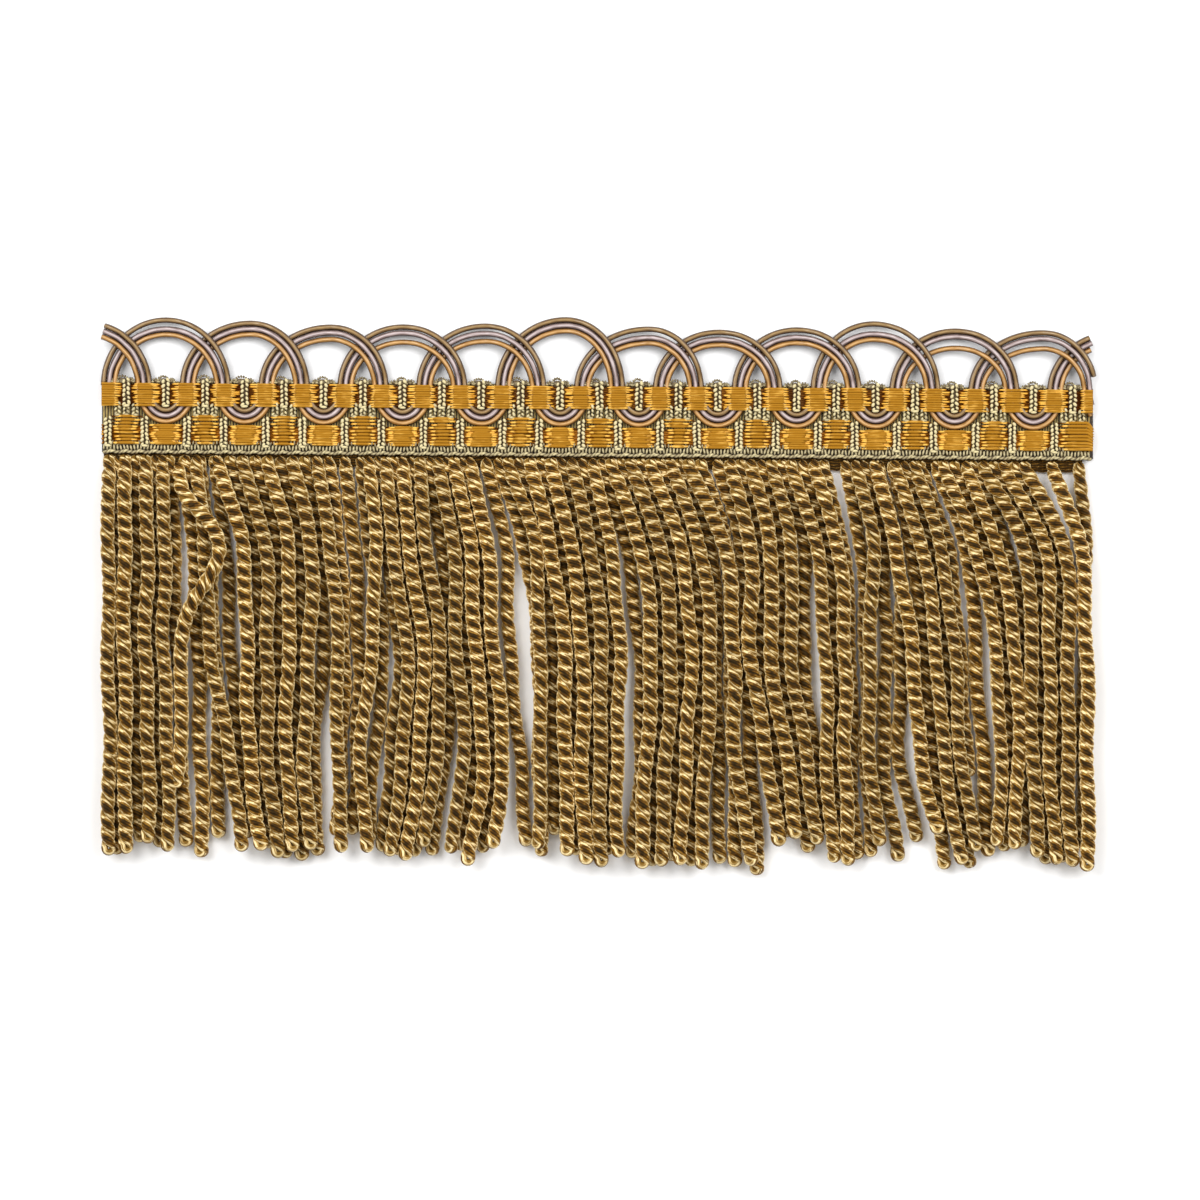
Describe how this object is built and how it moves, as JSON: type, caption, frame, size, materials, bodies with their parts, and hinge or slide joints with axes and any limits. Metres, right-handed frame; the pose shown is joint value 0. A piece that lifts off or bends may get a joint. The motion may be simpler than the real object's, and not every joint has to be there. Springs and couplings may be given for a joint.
{
  "type": "cord fringe trim",
  "caption": "Length of bullion cord fringe: a woven heading with gold weft, interlaced gimp cord loops along its top and a hanging skirt of twisted cords.",
  "frame": {"origin": "centre of the trim's outline, on the surface that it lies on", "axes": "+X along the trim, +Y from the tips of the skirt towards the loops, +Z out of the trim's face"},
  "size_m": [0.2708, 0.1524, 0.0119],
  "materials": {
    "heading_yarn": "matte twisted yarn in chain-stitch ribs",
    "gold_weft": "satin floats of fine rayon yarn",
    "gimp_brown": "satin, finely wound",
    "gimp_mauve": "satin, finely wound",
    "gimp_gold": "satin, finely wound",
    "bullion": "satin two-ply twisted cord, light yarns round a brown core"
  },
  "bodies": {
    "root": {"heading_web": "heading_yarn", "gold_weft_upper": "gold_weft", "gold_weft_lower": "gold_weft", "gimp_a_brown": "gimp_brown", "gimp_a_mauve": "gimp_mauve", "gimp_a_gold": "gimp_gold", "gimp_b_brown": "gimp_brown", "gimp_b_mauve": "gimp_mauve", "gimp_b_gold": "gimp_gold", "fringe_front": "bullion", "fringe_back": "bullion"}
  },
  "joints": []
}
